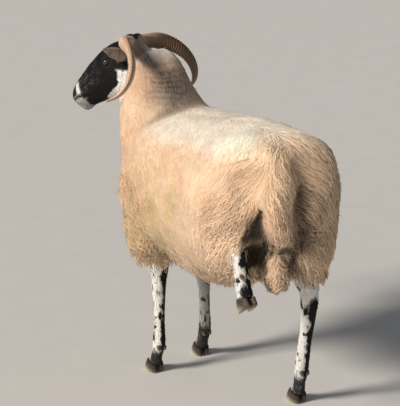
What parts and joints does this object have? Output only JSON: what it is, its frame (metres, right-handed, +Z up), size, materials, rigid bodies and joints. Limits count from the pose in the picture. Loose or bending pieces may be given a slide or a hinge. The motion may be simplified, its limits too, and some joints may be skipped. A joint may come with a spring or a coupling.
{
  "type": "blackface sheep",
  "caption": "Still, life-size model of a horned hill ram in fleece, standing with one hind foot raised and its head turned.",
  "frame": {"origin": "the floor, under the middle of the object's box", "axes": "+X towards the breast, +Y towards the sheep's left, +Z up; the soles of the standing feet are at z = 0"},
  "size_m": [0.9536, 0.5062, 0.9624],
  "materials": {
    "fleece": "cream wool in wavy locks",
    "face": "short black and white hair",
    "ear": "short grey-brown hair",
    "leg_hair": "short white hair with black markings",
    "horn": "ridged tan and brown horn",
    "hoof": "satin dark horn",
    "eye": "glossy, dark brown with a dark slot pupil"
  },
  "bodies": {
    "root": {"dewclaw_fore_left_left": "hoof", "dewclaw_fore_left_right": "hoof", "dewclaw_fore_right_left": "hoof", "dewclaw_fore_right_right": "hoof", "dewclaw_hind_left_left": "hoof", "dewclaw_hind_left_right": "hoof", "dewclaw_hind_right_left": "hoof", "dewclaw_hind_right_right": "hoof", "ear_left": "ear", "ear_right": "ear", "eye_left": "eye", "eye_right": "eye", "head": "face", "hoof_fore_left_left": "hoof", "hoof_fore_left_right": "hoof", "hoof_fore_right_left": "hoof", "hoof_fore_right_right": "hoof", "hoof_hind_left_left": "hoof", "hoof_hind_left_right": "hoof", "hoof_hind_right_left": "hoof", "hoof_hind_right_right": "hoof", "horn_left": "horn", "horn_right": "horn", "leg_fore_left_lower": "leg_hair", "leg_fore_left_upper": "fleece", "leg_fore_right_lower": "leg_hair", "leg_fore_right_upper": "fleece", "leg_hind_left_lower": "leg_hair", "leg_hind_left_upper": "fleece", "leg_hind_right_lower": "leg_hair", "leg_hind_right_upper": "fleece", "neck": "fleece", "scrotum": "fleece", "tail": "fleece", "trunk": "fleece"}
  },
  "joints": []
}
